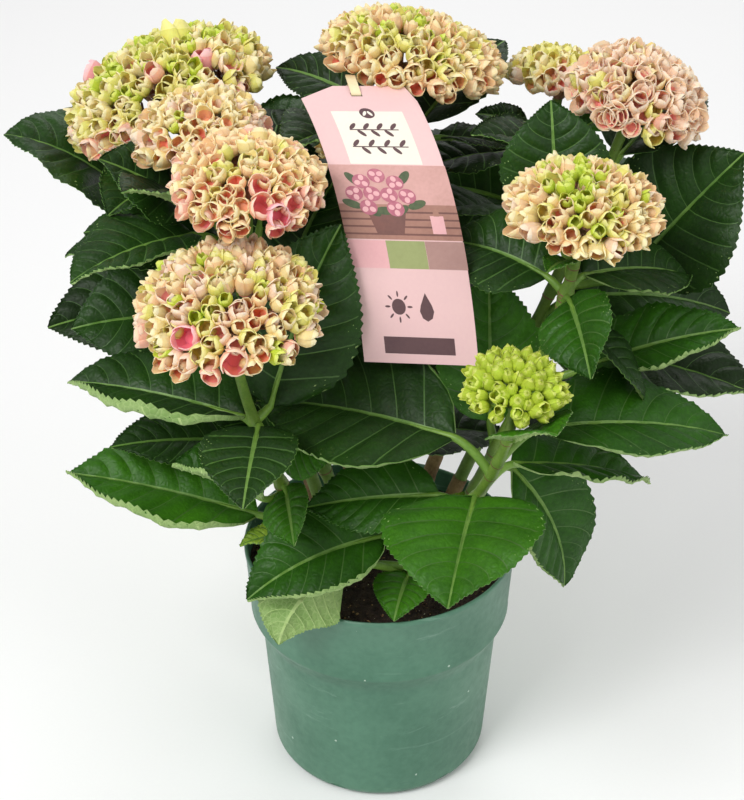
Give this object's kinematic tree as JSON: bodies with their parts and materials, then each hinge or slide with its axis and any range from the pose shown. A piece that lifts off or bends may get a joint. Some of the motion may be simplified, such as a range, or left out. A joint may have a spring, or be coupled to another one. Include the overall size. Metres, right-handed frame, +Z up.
{
  "type": "potted hydrangea",
  "caption": "Indoor hydrangea in a round plastic nursery pot: upright leafy shoots with broad opposite leaves, domed flower heads and a hanging plant label.",
  "frame": {"origin": "on the ground, under the middle of the pot's flat underside", "axes": "+Z up the pot's axis, the label and the lowest flower head face -Y, +X to the right of one who faces them"},
  "size_m": [0.3531, 0.3524, 0.3976],
  "materials": {
    "pot_plastic": "satin grey-green moulded plastic, lightly scuffed",
    "soil": "dark, crumbly and matt",
    "cane_bark": "thin matt tan bark",
    "leaf_green": "satin dark green with paler veins and undersides",
    "sepal_cream": "soft matt cream, lime and pink sepals",
    "label_card": "smooth coated pale rose card",
    "strap_paper": "matt cream paper"
  },
  "bodies": {
    "root": {"pot": "pot_plastic", "potting_soil": "soil", "label_card": "label_card", "label_strap": "strap_paper", "cane_back_left": "cane_bark", "leaves_back_left": "leaf_green", "flower_head_back_left": "sepal_cream", "cane_mid_left": "cane_bark", "leaves_mid_left": "leaf_green", "flower_head_mid_left": "sepal_cream", "cane_centre": "cane_bark", "leaves_centre": "leaf_green", "flower_head_centre": "sepal_cream", "cane_front_left": "cane_bark", "leaves_front_left": "leaf_green", "flower_head_front_left": "sepal_cream", "cane_back": "cane_bark", "leaves_back": "leaf_green", "flower_head_back": "sepal_cream", "cane_back_right": "cane_bark", "leaves_back_right": "leaf_green", "flower_head_back_right": "sepal_cream", "cane_far_right": "cane_bark", "leaves_far_right": "leaf_green", "flower_head_far_right": "sepal_cream", "cane_right": "cane_bark", "leaves_right": "leaf_green", "flower_head_right": "sepal_cream", "cane_front": "cane_bark", "leaves_front": "leaf_green", "flower_head_front": "sepal_cream", "cane_rear_left": "cane_bark", "leaves_rear_left": "leaf_green", "flower_head_rear_left": "sepal_cream"}
  },
  "joints": []
}
